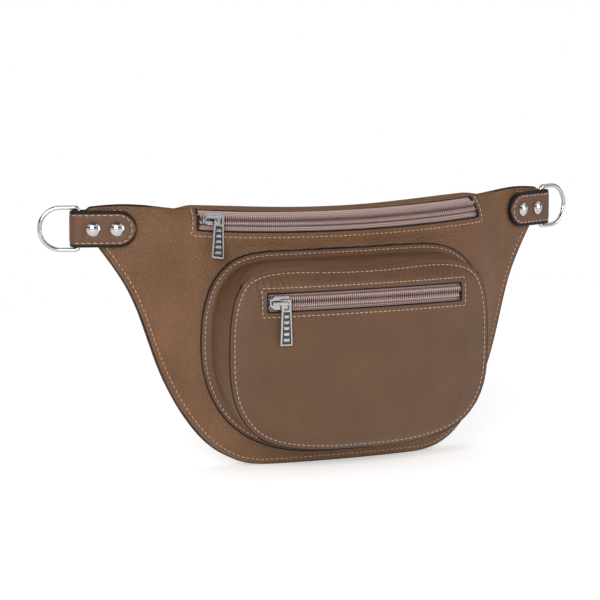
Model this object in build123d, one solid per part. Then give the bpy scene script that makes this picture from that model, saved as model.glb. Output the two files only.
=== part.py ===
from build123d import *
import math
import os

# A leather waist pack: millimetres, +X to the wearer's left hand (the viewer's right),
# the front faces -Y and +Z is up. It stands on the middle of its bottom seam, at z = 0.

# ---- driving dimensions ------------------------------------------------------------------
leather = 1.9              # main panels
thin_leather = 1.6         # pocket leather
lining_cloth = 0.6
lining_gap = 0.3           # between the leather and its lining
sew_gap = 0.15             # air left between layers that are sewn together
waist_radius = 395.0       # plan radius of the perimeter seam, round the wearer
wing_start = 138.0         # from here out, each wing is straight
flat_bottom = 52.0         # half length of the straight bottom seam
wing_tip = 174.0           # where the leather ends, inside the tab
crest_height = 172.8       # top of the bag at its middle
crest_rise = 6.0           # the wings stand this much higher
crest_reach = 153.0        # where they are highest
front_depth = 3.5          # the front panel's middle stands ahead of the bottom seam
back_depth = 24.0          # the back panel's middle stands behind it
roll_height = 16.0         # height over which the front panel folds back at its shoulders
bulge_reach = 165.0        # half length at which the back panel's bulge would run out
full_half, full_spread = 70.0, 7.3   # half width of the full part at the bottom, and its spread upwards
full_rise = 9.0            # height over which the panels part above the bottom seam
full_end = 100.0           # from here out to the wings the panels close up

main_window = 107.0        # half length of the main zip's window
main_window_low = 157.9    # its lower edge, at the middle and at its ends
main_window_end = 161.8
main_zip_y, main_zip_z = 1.5, 164.7
main_zip_tilt = 24.0       # degrees that the zip leans back
main_zip_bow = (0.8, 0.6)  # which way (y, z) the zip's ends bend from its middle
main_zip_radius = 806.0
bow_start = 110.0          # from this height up, the front panel follows the zip's bow
main_slider_rest = -94.0    # along the chain, from its middle
main_pull_lean = -6.0        # degrees that this pull hangs off square to its zip

pocket_window = 73.0       # half length of the pocket zip's window
pocket_window_low, pocket_window_high = 109.4, 122.4
pocket_rim_y = -28.4       # inner face of the pocket's front panel at its edge
pocket_crown = 11.0        # how far that panel stands out at its middle
pocket_round = 13.0        # width over which its edge rounds over
pocket_middle = 74.6       # height of the middle of that panel
pocket_half = (97.0, 62.2)
pocket_zip_radius = 666.0
pocket_zip_y, pocket_zip_z = -37.8, 115.9
pocket_slider_rest = -63.0
flange_width = 5.5         # the pocket's sewn flange

ring_wire = 3.0
ring_width = 25.4          # inside the D-ring, a one inch ring
ring_depth = 26.0          # bar to bow, centre to centre
ring_corner = 2.2
ring_z = 163.0
bar_x = 177.3
tab_width = 24.5
tab_leaf = 3.8             # each leaf of the folded tab
tab_slot = 4.2             # between the leaves: two panels, or the ring's bar
tab_end_x = 141.0
rivet_x = (153.0, 168.0)
rivet_head, rivet_dome, rivet_brim = 9.2, 2.2, 0.5
rivet_post_width, rivet_hole = 3.0, 3.3
rivet_seat = 0.05          # a cap's gap over the tab
rivet_lift = tab_slot / 2 + tab_leaf + rivet_seat

tape_thick, tape_half, pocket_tape_half = 0.6, 9.3, 7.5
coil_gap, coil_outer, coil_top = 0.7, 3.6, 2.7   # from the chain's middle, and above its tape
slider_clear = 0.4
face_tolerance = 0.08      # how closely a curved face follows its formula
through = 120.0            # a cutter's reach to each side, past the whole bag

# ---- the bag's own surfaces --------------------------------------------------------------


def seam_y(x):
    """Plan curve of the perimeter seam: an arc round the waist, then a straight wing."""
    reach = min(abs(x), wing_start)
    arc = waist_radius - math.sqrt(waist_radius**2 - reach**2)
    slope = wing_start / math.sqrt(waist_radius**2 - wing_start**2)
    return arc + slope * (abs(x) - reach)


def ease(low, high, value):
    """Rises smoothly from 0 at low to 1 at high."""
    share = min(1.0, max(0.0, (value - low) / (high - low)))
    return share * share * (3 - 2 * share)


def fullness(x, z):
    """How full the bag is: 0 on the sewn edge, 1 well inside it."""
    up = max(z, 0.0)
    share = (abs(x) / (full_half + full_spread * math.sqrt(up))) ** 8
    middle = (1 - share) / (1 + share)
    return middle * (1 - math.exp(-up / full_rise)) * (1 - ease(full_end, wing_start, abs(x)))


def crest_z(x):
    """Top of the bag along its length."""
    return crest_height + crest_rise * (1 - math.cos(math.pi * min(abs(x), crest_reach) / crest_reach)) / 2


def back_inner(x, z):
    """Inner face of the back panel."""
    bulge = back_depth * (1 - (min(abs(x), wing_start) / bulge_reach) ** 2)
    return seam_y(x) + sew_gap + bulge * fullness(x, z)


def front_inner(x, z):
    """Inner face of the front panel, folded back to the back panel at its top."""
    bow = main_zip_bow[0] * x * x / (2 * main_zip_radius) * ease(bow_start, main_window_low, z)
    flat = seam_y(x) - sew_gap - (seam_y(x) + front_depth - bow) * fullness(x, z)
    fold = min(1.0, max(0.0, 1 - (crest_z(x) - z) / roll_height)) ** 2.2
    return flat + (back_inner(x, z) - sew_gap - flat) * fold


def pocket_inner(x, z):
    """Inner face of the pocket's front panel: a crown that rounds over at its edge."""
    across = abs(x) / pocket_half[0]
    up = abs(z - pocket_middle) / pocket_half[1]
    squareness = 6 if z > pocket_middle else 3
    edge = 1 - (across**squareness + up**squareness) ** (1 / squareness)
    inside = edge * pocket_half[1] / pocket_round
    crown = pocket_crown - min(x * x, pocket_half[0] ** 2) / (2 * pocket_zip_radius)
    return pocket_rim_y - crown * math.sin(math.pi / 2 * min(1.0, max(0.0, inside)))


def field(surface, half_length, low, high, columns, rows):
    """A smooth face through y = surface(x, z)."""
    grid = []
    for i in range(columns + 1):
        x = half_length * (2 * i / columns - 1)
        heights = [low + (high - low) * j / rows for j in range(rows + 1)]
        grid.append([Vector(x, surface(x, z), z) for z in heights])
    return Face.make_surface_from_array_of_points(grid, tol=face_tolerance)


def thicken(face, start, end):
    """The slab that the face sweeps between two shifts along Y."""
    return Solid.extrude(face.moved(Location((0, start, 0))), Vector(0, end - start, 0))


def prism(outline):
    """Everything in front of and behind an outline drawn in the XZ plane."""
    return extrude(make_face(outline), amount=through, both=True)


def from_front(point):
    """A point (x, z) of the XZ plane, in the sketch plane that faces the viewer."""
    return Vector(point[0], 0, point[1])


def joined(*curves):
    """One closed wire from edges and wires that meet end to end."""
    return Wire([edge for curve in curves for edge in curve.edges()])


def closed_outline(top_z, top_half, curve):
    """One smooth closed line: along a straight top, down each side and under."""
    right = [(top_half / 2, top_z), (top_half, top_z)] + curve
    left = [(-x, z) for x, z in reversed(right[:-1])]
    return Wire([Spline(*[from_front(p) for p in right + left], periodic=True)])


def shrink(curve, amount):
    """The same curve, each point moved towards the pocket's middle."""
    moved = []
    for x, z in curve:
        reach = math.hypot(x, z - pocket_middle)
        share = 1 - amount / reach
        moved.append((x * share, pocket_middle + (z - pocket_middle) * share))
    return moved


# ---- outlines, seen from the front -------------------------------------------------------
side_curve = [
    (flat_bottom, 0), (68, 1), (88, 9.2), (110, 32.5), (131, 77.5), (146, 120.5), (165, 151)
]
wing_end = [(165, 151), (171, 154.5), (wing_tip, 160), (wing_tip, 173.5), (171, 177)]
front_top = [(171, 177), (153, 178.6), (128, 177.8), (108, 176.4)]
back_top = [
    (171, 177), (153, 178.6), (128, 177.4), (108, 174.0), (90, 172.4), (60, 170.6), (0, 168.8)
]
flange_curve = [(84, 140.5), (100, 124), (106, 95), (103, 62), (86, 31), (50, 11.5), (0, 7.5)]
panel_curve = [(86, 130), (95, 111), (97, 83), (92.5, 46), (76, 24.5), (50, 15.4), (0, 12.4)]
flange_top, flange_top_half = 146.0, 52.0
panel_top, panel_top_half = 136.9, 66.0


def mirrored(points):
    return [(-x, z) for x, z in points]


def bag_outline(top):
    """The whole bag: flat bottom, curved sides, wing ends and the given top edge."""
    edges = [Line(from_front((-flat_bottom, 0)), from_front((flat_bottom, 0)))]
    for flip, ahead in ((lambda p: p, 1), (mirrored, -1)):
        side = [from_front(p) for p in flip(side_curve)]
        edges.append(Spline(*side, tangents=(Vector(ahead, 0, 0), Vector(ahead * 0.8, 0, 1))))
        edges.append(Polyline(*[from_front(p) for p in flip(wing_end)]))
    if top[-1][0] == 0:
        crest = [from_front(p) for p in top + mirrored(top[:-1])[::-1]]
        edges.append(Spline(*crest))
    else:
        for flip in (lambda p: p, mirrored):
            edges.append(Spline(*[from_front(p) for p in flip(top)]))
        edges.append(Line(from_front(top[-1]), from_front(mirrored(top[-1:])[0])))
    return joined(*edges)


def window_outline(half, low_middle, low_end, high):
    """A zip's window, its lower edge bowed."""
    ends = from_front((-half, low_end)), from_front((half, low_end))
    low = ThreePointArc(ends[0], from_front((0, low_middle)), ends[1])
    rest = Polyline(ends[1], from_front((half, high)), from_front((-half, high)), ends[0])
    return joined(low, rest)


# ---- hardware frames ---------------------------------------------------------------------
wing_angle = math.degrees(math.atan(wing_start / math.sqrt(waist_radius**2 - wing_start**2)))
wing_along = Vector(math.cos(math.radians(wing_angle)), math.sin(math.radians(wing_angle)), 0)
wing_front = Vector(math.sin(math.radians(wing_angle)), -math.cos(math.radians(wing_angle)), 0)
bar_point = Vector(bar_x, seam_y(bar_x), ring_z)
wing_plane = Plane(bar_point, x_dir=wing_along, z_dir=wing_front)   # y up, z out of the front

tilt = math.radians(main_zip_tilt)
main_zip_plane = Plane(
    (0, main_zip_y, main_zip_z), x_dir=(1, 0, 0), z_dir=(0, -math.cos(tilt), math.sin(tilt))
)
main_axis_at = (
    0,
    main_zip_y + main_zip_bow[0] * main_zip_radius,
    main_zip_z + main_zip_bow[1] * main_zip_radius,
)
main_axis = Axis(main_axis_at, (0, -main_zip_bow[1], main_zip_bow[0]))
pocket_zip_plane = Plane((0, pocket_zip_y, pocket_zip_z), x_dir=(1, 0, 0), z_dir=(0, -1, 0))
pocket_axis = Axis((0, pocket_zip_y + pocket_zip_radius, pocket_zip_z), (0, 0, 1))


def on_wing(x):
    """Distance along the wing from the bar to a point at x, negative inwards."""
    return (x - bar_x) / wing_along.X


def zip_strip(plane, axis, radius, half, section):
    """A cross-section of the zip, points (across, out) at its middle, carried along its bow."""
    side = Plane(plane.origin, x_dir=plane.y_dir, z_dir=Vector(1, 0, 0))
    sign = 1 if side.y_dir.dot(plane.z_dir) > 0 else -1
    face = make_face(side * Polyline(*[(a, sign * b) for a, b in section], close=True))
    turn = math.degrees(half / radius)
    return revolve(face.rotate(axis, -turn), axis, 2 * turn)


def box_section(low, high, under, over):
    return [(low, under), (high, under), (high, over), (low, over)]


# a slider in its own plane: x along the chain, away from its open end; y across it and z out
slider_nose, slider_shoulder, slider_tail = -8.4, -4.8, 5.2
slider_half, slider_tail_half, slider_nose_half = 4.7, 4.5, 2.0
slider_plate = 1.0
plate_top = coil_top + slider_clear + slider_plate
bridge_rise, bridge_thick, bridge_half = 2.8, 1.3, 1.1
bridge_under = plate_top + bridge_rise
bridge_foot, bridge_foot_long, bridge_tip = -6.9, 1.6, 3.4
post_x, post_radius = 2.6, 0.75


def slider_body():
    """A coil slider: two plates with turned flanges, joined by a thin diamond at the open end."""
    side = [
        (slider_nose, slider_nose_half), (slider_shoulder, slider_half), (slider_tail, slider_tail_half)
    ]
    outline = Polyline(*side, *[(x, -y) for x, y in reversed(side)], close=True)
    plate = make_face(outline)
    plate = fillet(plate.vertices(), 1.1)
    over = coil_top + slider_clear
    under = -tape_thick / 2 - slider_clear
    upper = Pos(0, 0, over) * extrude(plate, slider_plate)
    upper = fillet(upper.edges().group_by(Axis.Z)[-1], 0.35)
    lower = Pos(0, 0, under - slider_plate) * extrude(plate, slider_plate)
    body = upper + lower
    channel = coil_outer + slider_clear
    for side in (-1, 1):
        wall = extrude(plate, over + 0.5 - (tape_thick / 2 + slider_clear))
        wall = Pos(0, 0, tape_thick / 2 + slider_clear) * wall
        keep = Pos(0, side * (channel + 5), 2) * Box(30, 10, 10)
        body += wall & keep
    diamond = Pos(slider_nose + 1.5, 0, (over + under) / 2) * Box(1.6, 0.5, over - under + 0.8)
    return body + diamond


def slider_bridge():
    """The strap over the slider: a foot at the open end, a bar, and the post that holds the puller."""
    start = bridge_foot - bridge_foot_long / 2
    middle = (plate_top + bridge_under) / 2
    bar = Box(bridge_tip - start, 2 * bridge_half, bridge_thick)
    bar = Pos((start + bridge_tip) / 2, 0, bridge_under + bridge_thick / 2) * bar
    bar = fillet(bar.edges().filter_by(Axis.X).group_by(Axis.Z)[-1], 0.6)
    foot = Pos(bridge_foot, 0, middle) * Box(bridge_foot_long, 2 * bridge_half, bridge_rise)
    post = Pos(post_x, 0, middle) * Cylinder(post_radius, bridge_rise)
    return bar + foot + post


puller_under, puller_thick = plate_top + 0.7, 1.4
puller_top, puller_foot = 2.4, -28.8    # from the post
puller_recess = 0.5
recess_edges = (0.95, -6.0, -27.8)      # inset from the sides, its top and its foot


def puller_outline(inset, top, bottom):
    """A long pull, wider at its foot; its edges lie inset from the outer shape."""
    half_top, half_bottom = 3.25 - inset, 4.3 - inset
    points = [(-half_bottom, bottom), (half_bottom, bottom), (half_top, top), (-half_top, top)]
    return make_face(Polyline(*points, close=True))


def puller(lean=0.0):
    """The pull: a plate with an eye round the post, and a recess for its inlay."""
    blank = puller_outline(0, puller_top, puller_foot)
    blank = fillet(blank.vertices(), 0.8)
    eye = Pos(0, -1.9) * RectangleRounded(4.0, 5.8, 0.6)
    plate = extrude(blank - eye, puller_thick)
    plate = chamfer(plate.faces().sort_by(Axis.Z)[-1].outer_wire().edges(), 0.25)
    recess = extrude(puller_outline(*recess_edges), 2 * puller_recess)
    plate = plate - Pos(0, 0, puller_thick - puller_recess) * recess
    return Pos(post_x, 0, puller_under) * Rot(0, 0, lean) * plate


def puller_inlay(lean=0.0):
    """The enamel in the pull's recess, just below its rim."""
    inlay = extrude(puller_outline(*recess_edges), puller_recess - 0.15)
    return Pos(post_x, 0, puller_under + puller_thick - puller_recess) * Rot(0, 0, lean) * inlay


def on_zip(part, plane, axis, rest_angle):
    """Places a slider's piece on its zip, at its closed end."""
    placed = plane.location * part
    return placed.rotate(axis, rest_angle)


# ---- leather and lining ------------------------------------------------------------------
bag_field = (190, -6, 184, 48, 38)      # half length, low, high, columns, rows
front_face = field(front_inner, *bag_field)
back_face = field(back_inner, *bag_field)
pocket_face = field(pocket_inner, 104, 4, 145, 36, 30)
bag_front = prism(bag_outline(front_top))
bag_back = prism(bag_outline(back_top))
flange_edge = prism(closed_outline(flange_top, flange_top_half, flange_curve))
mouth_curve = shrink(flange_curve, flange_width)
mouth_top, mouth_top_half = flange_top - flange_width, flange_top_half - 3
mouth_edge = prism(closed_outline(mouth_top, mouth_top_half, mouth_curve))
panel_edge = prism(closed_outline(panel_top, panel_top_half, panel_curve))
main_hole = prism(window_outline(main_window, main_window_low, main_window_end, 190))
rivet_points = [wing_plane.from_local_coords(Vector(on_wing(x), 0, 0)) for x in rivet_x]


hole_cutters = []
for point in rivet_points:
    hole = Solid.make_cylinder(rivet_hole / 2, 40, Plane(point - wing_front * 20, z_dir=wing_front))
    hole_cutters += [hole, hole.mirror(Plane.YZ)]


def cut(part, tools):
    for tool in tools:
        part = part - tool
    return part


def front_panel():
    return cut(thicken(front_face, 0, -leather) & bag_front, [main_hole] + hole_cutters)


def back_panel():
    return cut(thicken(back_face, 0, leather) & bag_back, hole_cutters)


def top_band():
    """The leather turned over the top of the back panel, behind the zip."""
    grid = []
    for i in range(25):
        x = (main_window - 0.6) * (i / 12 - 1)
        near = 8.0 + 5.0 * (x / 100) ** 2
        far = back_inner(x, 160) + leather
        row = []
        for j in range(9):
            y = near + (far - near) * j / 8
            row.append(Vector(x, y, crest_z(x) + 0.2 - (j / 4 - 1) ** 2))
        grid.append(row)
    face = Face.make_surface_from_array_of_points(grid, tol=face_tolerance)
    return Solid.extrude(face, Vector(0, 0, -leather))


def cloth_edge(half_length, low, high, corner):
    """A lining's outline: a rounded rectangle seen from the front."""
    sketch = Pos(0, (low + high) / 2) * RectangleRounded(2 * half_length, high - low, corner)
    return extrude(Plane.XZ * sketch, amount=through, both=True)


# each lining: half length, low, high and corner radius
main_lining_edge = cloth_edge(108, 9, 150, 60)
back_lining_edge = cloth_edge(108, 9, 163, 60)
pocket_back_lining_edge = cloth_edge(78, 30, 132, 40)
pocket_front_lining_edge = cloth_edge(88, 24, 133, 34)
pocket_lining_mouth = cloth_edge(pocket_window + 1, pocket_window_low - 3, pocket_window_high + 2, 2)
lining_drop = 2.8          # the pocket's lining hangs clear of the slider's lower plate


def pocket_gusset():
    """The pocket's moulded wall: a flange sewn to the front panel, and a wall out to the panel's rim."""
    seat = -leather - sew_gap
    flange = (thicken(front_face, seat, seat - thin_leather) & flange_edge) - mouth_edge
    rim_y = pocket_rim_y + 0.5

    def tube(inset):
        low = closed_outline(mouth_top - inset, mouth_top_half, shrink(mouth_curve, inset))
        high = closed_outline(panel_top - inset, panel_top_half - inset, shrink(panel_curve, inset))
        ends = [low.moved(Location((0, 2, 0))), high.moved(Location((0, rim_y, 0)))]
        return Solid.make_loft(ends, True)

    wall = tube(-0.02) - tube(thin_leather)
    wall = wall - thicken(front_face, seat, through / 2)
    return flange + wall


def pocket_front_panel():
    low, high = pocket_window_low, pocket_window_high
    window = Pos(0, (low + high) / 2) * Rectangle(2 * pocket_window, high - low)
    window = extrude(Plane.XZ * window, amount=through, both=True)
    return (thicken(pocket_face, 0, -thin_leather) & panel_edge) - window


def pocket_lining_front():
    """The lining behind the pocket's front, clear of the slider's lower plate, open at the zip."""
    cloth = thicken(pocket_face, lining_drop, lining_drop + lining_cloth) & pocket_front_lining_edge
    return cloth - pocket_lining_mouth


# ---- tab, ring and rivets of the right wing, drawn in the wing's plane ---------------------
def ring_tab():
    """A leather tab folded round the ring's bar, its two leaves riveted through the wing."""
    outer, inner = tab_slot / 2 + tab_leaf, tab_slot / 2
    length = -on_wing(tab_end_x)
    half = tab_width / 2
    top_view = Plane(wing_plane.origin, x_dir=wing_plane.x_dir, z_dir=(0, 0, 1))
    body = Pos(-length / 2, 0) * Rectangle(length, 2 * outer) + Circle(outer)
    slot = Pos(-length / 2 - 5, 0) * Rectangle(length + 10, 2 * inner) + Circle(inner)
    folded = extrude(top_view * (body - slot), half, both=True)
    round_end = Pos(-length + half, 0) * Circle(half)
    straight = length - half + outer + 2
    front_view = Pos(straight / 2 - length + half, 0) * Rectangle(straight, tab_width) + round_end
    return cut(folded & extrude(wing_plane * front_view, 20, both=True), hole_cutters)


def d_ring():
    half = (ring_width + ring_wire) / 2
    leg = ring_depth - half
    corner = ring_corner
    path = Wire([
        Line((0, -half + corner), (0, half - corner)),
        RadiusArc((0, half - corner), (corner, half), corner),
        Line((corner, half), (leg, half)),
        ThreePointArc((leg, half), (leg + half, 0), (leg, -half)),
        Line((leg, -half), (corner, -half)),
        RadiusArc((corner, -half), (0, -half + corner), corner),
    ])
    section = Plane((0, 0, 0), z_dir=(0, 1, 0)) * Circle(ring_wire / 2)
    return wing_plane.location * sweep(section, path=path)


def rivet_cap(x, side):
    """A domed cap that lies on the tab's leaf."""
    radius, brim = rivet_head / 2, rivet_brim
    rise = rivet_dome - brim
    ball = (radius**2 + rise**2) / (2 * rise)
    above = Pos(0, 0, brim + rivet_dome) * Cylinder(radius, 2 * rivet_dome)
    dome = Pos(0, 0, rivet_dome - ball) * Sphere(ball) & above
    cap = dome + Pos(0, 0, brim / 2) * Cylinder(radius, brim)
    middle = wing_plane.from_local_coords(Vector(on_wing(x), 0, side * rivet_lift))
    return Plane(middle, z_dir=wing_front * side).location * cap


def rivet_post(x):
    """The post between a rivet's two caps, through the tab and both panels."""
    foot = wing_plane.from_local_coords(Vector(on_wing(x), 0, -rivet_lift))
    length = 2 * rivet_lift - rivet_seat
    return Solid.make_cylinder(rivet_post_width / 2, length, Plane(foot, z_dir=wing_front))


# ---- the zips ----------------------------------------------------------------------------
main_half = main_window - 1
pocket_half_length = pocket_window - 1
half_tape = tape_thick / 2
tape_gap = 0.6             # from the chain's middle to each tape's edge
lower_coil = box_section(-coil_outer, -coil_gap, half_tape, coil_top)
upper_coil = box_section(coil_gap, coil_outer, half_tape, coil_top)
main_upper_tape = [
    (tape_gap, -half_tape), (5.0, -half_tape), (8.1, -8.0),
    (8.7, -7.7), (5.5, half_tape), (tape_gap, half_tape),
]


def tape_section(side, half_width):
    """A flat tape's cross-section, above or below the chain."""
    low, high = sorted((side * tape_gap, side * half_width))
    return box_section(low, high, -half_tape, half_tape)


def main_strip(section):
    return zip_strip(main_zip_plane, main_axis, main_zip_radius, main_half, section)


def pocket_strip(section):
    return zip_strip(pocket_zip_plane, pocket_axis, pocket_zip_radius, pocket_half_length, section)


main_rest_angle = math.degrees(main_slider_rest / main_zip_radius)
pocket_rest_angle = math.degrees(pocket_slider_rest / pocket_zip_radius)


def main_slider(part):
    return on_zip(part, main_zip_plane, main_axis, main_rest_angle)


def pocket_slider(part):
    return on_zip(part, pocket_zip_plane, pocket_axis, pocket_rest_angle)


# ---- every piece, as its own node --------------------------------------------------------
nodes = {
    "front_panel": [front_panel()],
    "back_panel": [back_panel()],
    "top_band": [top_band()],
    "main_lining_front": [thicken(front_face, lining_gap, lining_gap + lining_cloth) & main_lining_edge],
    "main_lining_back": [thicken(back_face, -lining_gap - lining_cloth, -lining_gap) & back_lining_edge],
    "main_zip_tape_lower": [main_strip(tape_section(-1, tape_half))],
    "main_zip_tape_upper": [main_strip(main_upper_tape)],
    "main_zip_coil_lower": [main_strip(lower_coil)],
    "main_zip_coil_upper": [main_strip(upper_coil)],
    "main_slider_body": [main_slider(slider_body())],
    "main_slider_bridge": [main_slider(slider_bridge())],
    "main_puller": [main_slider(puller(main_pull_lean))],
    "main_puller_inlay": [main_slider(puller_inlay(main_pull_lean))],
    "pocket_gusset": [pocket_gusset()],
    "pocket_front_panel": [pocket_front_panel()],
    "pocket_lining_front": [pocket_lining_front()],
    "pocket_lining_back": [
        thicken(front_face, -leather - 0.2 - lining_cloth, -leather - 0.2) & pocket_back_lining_edge
    ],
    "pocket_zip_tape_lower": [pocket_strip(tape_section(-1, pocket_tape_half))],
    "pocket_zip_tape_upper": [pocket_strip(tape_section(1, pocket_tape_half))],
    "pocket_zip_coil_lower": [pocket_strip(lower_coil)],
    "pocket_zip_coil_upper": [pocket_strip(upper_coil)],
    "pocket_slider_body": [pocket_slider(slider_body())],
    "pocket_slider_bridge": [pocket_slider(slider_bridge())],
    "pocket_puller": [pocket_slider(puller())],
    "pocket_puller_inlay": [pocket_slider(puller_inlay())],
}
right_wing = {
    "ring_tab": [ring_tab()],
    "d_ring": [d_ring()],
    "rivet_caps": [rivet_cap(x, 1) for x in rivet_x],
    "rivet_posts": [rivet_post(x) for x in rivet_x] + [rivet_cap(x, -1) for x in rivet_x],
}
for name, pieces in right_wing.items():
    nodes["right_" + name] = pieces
    nodes["left_" + name] = [piece.mirror(Plane.YZ) for piece in pieces]

# The origin is under the middle of the whole pack, so everything moves by the same amount in Y.
group = {name: Compound(children=[s for p in pieces for s in p.solids()]) for name, pieces in nodes.items()}
whole = Compound(children=[Compound(obj=c.wrapped) for c in group.values()]).bounding_box()
shift_y = -(whole.min.Y + whole.max.Y) / 2

os.makedirs("parts", exist_ok=True)
for name, compound in group.items():
    solids = [s.moved(Location((0, shift_y, 0))) for s in compound.solids()]
    export_step(solids[0] if len(solids) == 1 else Compound(children=solids), f"parts/{name}.step")
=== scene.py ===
"""A leather waist pack: its leather, stitching, zips and finishes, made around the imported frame.

Shapes are worked out in millimetres, x to the right, z up, with the front towards -y and the middle
of the perimeter seam at y = 0. They move by SHIFT into the shared frame as they go into a mesh.
"""
import math

import bpy
import numpy as np
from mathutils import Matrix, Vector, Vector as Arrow


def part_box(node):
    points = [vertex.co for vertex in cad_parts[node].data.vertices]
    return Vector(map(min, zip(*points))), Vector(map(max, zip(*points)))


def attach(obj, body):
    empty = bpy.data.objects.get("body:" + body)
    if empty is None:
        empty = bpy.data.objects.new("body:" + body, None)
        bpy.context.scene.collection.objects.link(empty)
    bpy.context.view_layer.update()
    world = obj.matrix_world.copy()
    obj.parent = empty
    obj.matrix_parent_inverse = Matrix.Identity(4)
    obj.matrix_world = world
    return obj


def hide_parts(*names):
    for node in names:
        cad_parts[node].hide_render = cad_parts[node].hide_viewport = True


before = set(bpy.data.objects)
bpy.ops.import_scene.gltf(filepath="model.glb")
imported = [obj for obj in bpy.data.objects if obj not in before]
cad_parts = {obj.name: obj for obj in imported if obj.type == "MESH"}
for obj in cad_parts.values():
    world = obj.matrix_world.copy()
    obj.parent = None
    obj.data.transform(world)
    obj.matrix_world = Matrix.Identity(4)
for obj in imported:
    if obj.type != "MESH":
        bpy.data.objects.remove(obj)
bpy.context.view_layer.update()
MM = 0.001

# ---- sizes that the leather, seams and zips share ----
LEATHER, POCKET_LEATHER, SEW_GAP = 1.9, 1.6, 0.15
WAIST_RADIUS, WING_START, WING_END = 395.0, 138.0, 174.0
WING_ANGLE = math.asin(WING_START / WAIST_RADIUS)
BACK_DEPTH, BACK_REACH, FRONT_DEPTH = 24.0, 165.0, 3.5
FULL_HALF, FULL_SPREAD, FULL_RISE, FULL_END = 70.0, 7.3, 9.0, 100.0
CREST, CREST_RISE, CREST_REACH = 172.8, 6.0, 153.0
ROLL = 16.0                       # height over which the front folds back at its shoulders
WINDOW, WINDOW_LOW, WINDOW_END, WINDOW_LEAN = 107.0, 157.9, 161.8, 3.0
POCKET_WINDOW, POCKET_LOW, POCKET_HIGH = 73.0, 109.4, 122.4
POCKET_MIDDLE, POCKET_RIM, POCKET_CROWN, POCKET_ROUND = 74.6, -28.4, 11.0, 13.0
POCKET_HALF = (97.0, 62.2)
MAIN_ZIP, MAIN_TILT, MAIN_BOW = (0, 1.5, 164.7), 24.0, 806.0
POCKET_ZIP, POCKET_BOW = (0, -37.8, 115.9), 666.0
COIL_PITCH, COIL_LINE = 1.5, 2.6  # along a chain, and from its middle to the thread over each half
FLANGE = 5.5
BAR_X, BAR_Z, TAB_END = 177.3, 163.0, 141.0
TAB_HALF, TAB_LEAF, TAB_SLOT, TAB_PAINT = 12.25, 3.8, 4.2, 1.9
RIVETS = (153.0, 168.0)
STITCH_IN, STITCH_PITCH = 2.9, 3.5  # a seam's distance from its edge, and from stitch to stitch
BAND_PAST = 14.0                  # how far the top band runs on past the window


# ---- numbers ----
def ease(low, high, value):
    """Rises from 0 at low to 1 at high along 3s^2 - 2s^3."""
    share = np.clip((value - low) / (high - low), 0, 1)
    return share * share * (3 - 2 * share)


def blunt(wave, power=0.4):
    """A wave pushed out towards its limits, which squares what it draws."""
    return np.sign(wave) * np.abs(wave) ** power


def unit(vectors):
    """Each vector over its own length."""
    return vectors / np.maximum(np.linalg.norm(vectors, axis=-1, keepdims=True), 1e-9)


def smooth_line(points, count, closed=False):
    """A cubic spline through the points over their chord lengths: the bends come from one linear system."""
    p = np.array(points, float)
    if closed:
        p = np.vstack([p, p[:1]])
    gap = np.linalg.norm(np.diff(p, axis=0), axis=1)
    n = len(gap)
    at = np.concatenate([[0], np.cumsum(gap)])
    slope = np.diff(p, axis=0) / gap[:, None]
    grid, right = np.zeros((n + 1, n + 1)), np.zeros_like(p)
    i = np.arange(1, n)
    grid[i, i - 1], grid[i, i], grid[i, i + 1] = gap[:-1], 2 * (gap[:-1] + gap[1:]), gap[1:]
    right[1:-1] = 6 * (slope[1:] - slope[:-1])
    grid[0, 0] = grid[-1, -1] = 1
    if closed:
        grid[0, 0], grid[0, 1], grid[0, -2] = 2 * (gap[0] + gap[-1]), gap[0], gap[-1]
        right[0] = 6 * (slope[0] - slope[-1])
        grid[-1, 0] = -1
    bend = np.linalg.solve(grid, right)
    s = np.linspace(0, at[-1], count, endpoint=not closed)
    k = np.clip(np.searchsorted(at, s, side="right") - 1, 0, n - 1)
    u, v, d = (s - at[k])[:, None], (at[k + 1] - s)[:, None], gap[k][:, None]
    curve = (bend[k] * v**3 + bend[k + 1] * u**3) / (6 * d)
    return curve + (p[k] / d - bend[k] * d / 6) * v + (p[k + 1] / d - bend[k + 1] * d / 6) * u


def evenly(line, step, closed=False):
    """The same line with points a step apart, by running length."""
    line = np.vstack([line, line[:1]]) if closed else line
    run = np.concatenate([[0], np.cumsum(np.linalg.norm(np.diff(line, axis=0), axis=1))])
    count = max(3, int(round(run[-1] / step)) + 1)
    s = np.linspace(0, run[-1], count)
    even = np.stack([np.interp(s, run, line[:, i]) for i in range(line.shape[1])], axis=1)
    return even[:-1] if closed else even


def headings(line, closed=False):
    """The line's direction at each point, from its two neighbours."""
    ahead, behind = np.roll(line, -1, axis=0), np.roll(line, 1, axis=0)
    if not closed:
        ahead[-1], behind[0] = line[-1], line[0]
    return unit(ahead - behind)


def moved_in(line, amount, closed=False):
    """The line moved to its left side by an amount: inwards, if it runs counterclockwise."""
    t = headings(line, closed)
    return line + amount * np.stack([-t[:, 1], t[:, 0]], axis=1)


def ripples(x, z, seed, wave_x, wave_z):
    """Smooth noise between about -1 and 1: seven sine waves with their own directions and phases."""
    draw = np.random.default_rng(seed)
    total = 0
    for _ in range(7):
        fx, fz = draw.normal(0, 1, 2) * 2 * math.pi
        total = total + np.sin(fx * x / wave_x + fz * z / wave_z + draw.uniform(0, 6.28))
    return total / 4


# ---- the bag's surfaces, y at (x, z) ----
def seam_y(x):
    """Plan curve of the perimeter seam: an arc round the waist, then straight wings."""
    reach = np.minimum(np.abs(x), WING_START)
    arc = WAIST_RADIUS - np.sqrt(WAIST_RADIUS**2 - reach**2)
    return arc + math.tan(WING_ANGLE) * (np.abs(x) - reach)


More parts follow.
